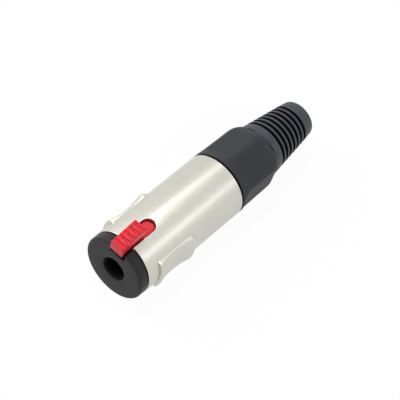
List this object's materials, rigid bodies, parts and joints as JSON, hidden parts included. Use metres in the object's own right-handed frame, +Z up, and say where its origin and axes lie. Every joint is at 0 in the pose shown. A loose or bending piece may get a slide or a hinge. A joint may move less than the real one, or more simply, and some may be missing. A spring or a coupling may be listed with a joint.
{
  "type": "audio jack socket",
  "caption": "In-line locking jack socket for a 6.35 mm plug: slotted metal barrel with grip pads, red release lever, black nose, screw bushing and ribbed strain-relief boot.",
  "frame": {"origin": "centre of the plug bore's mouth, on the nose face", "axes": "+X along the plug's axis towards the cable end, +Z up through the release lever"},
  "size_m": [0.0804, 0.022, 0.0244],
  "materials": {
    "satin_nickel": "satin plated die casting",
    "black_moulding": "fine matte moulded",
    "red_moulding": "satin moulded",
    "spring_steel": "bright",
    "contact_brass": "stamped",
    "pale_moulding": "natural moulded",
    "soft_black": "matte soft"
  },
  "bodies": {
    "housing": {"shell": "satin_nickel", "contact_carrier": "black_moulding", "lever_pin": "spring_steel", "lever_spring": "spring_steel", "sleeve_contact": "contact_brass", "ring_contact": "contact_brass", "tip_contact": "contact_brass"},
    "lever": {"release_lever": "red_moulding", "latch_claw": "spring_steel"},
    "chuck": {"chuck": "pale_moulding"},
    "bushing": {"bushing_nut": "black_moulding", "strain_relief_boot": "soft_black"}
  },
  "joints": [
    {"name": "lever_press", "type": "hinge", "parent": "housing", "child": "lever", "pos_m": [0.0175, 0, 0.0066], "axis": [0, -1, 0], "range_deg": [0, 5.5], "stiffness_Nm_per_rad": 0.3, "springref_deg": -8.59, "deforming": ["lever_spring"]},
    {"name": "chuck_slide", "type": "slide", "parent": "housing", "child": "chuck", "axis": [1, 0, 0], "range_m": [0, 0.0055]},
    {"name": "bushing_turn", "type": "hinge", "parent": "chuck", "child": "bushing", "pos_m": [0.05, 0, 0], "axis": [1, 0, 0], "range_deg": [0, 1980]}
  ],
  "couplings": [
    {"joint": "chuck_slide", "follows": "bushing_turn", "m_per_rad": 0.00015915}
  ]
}
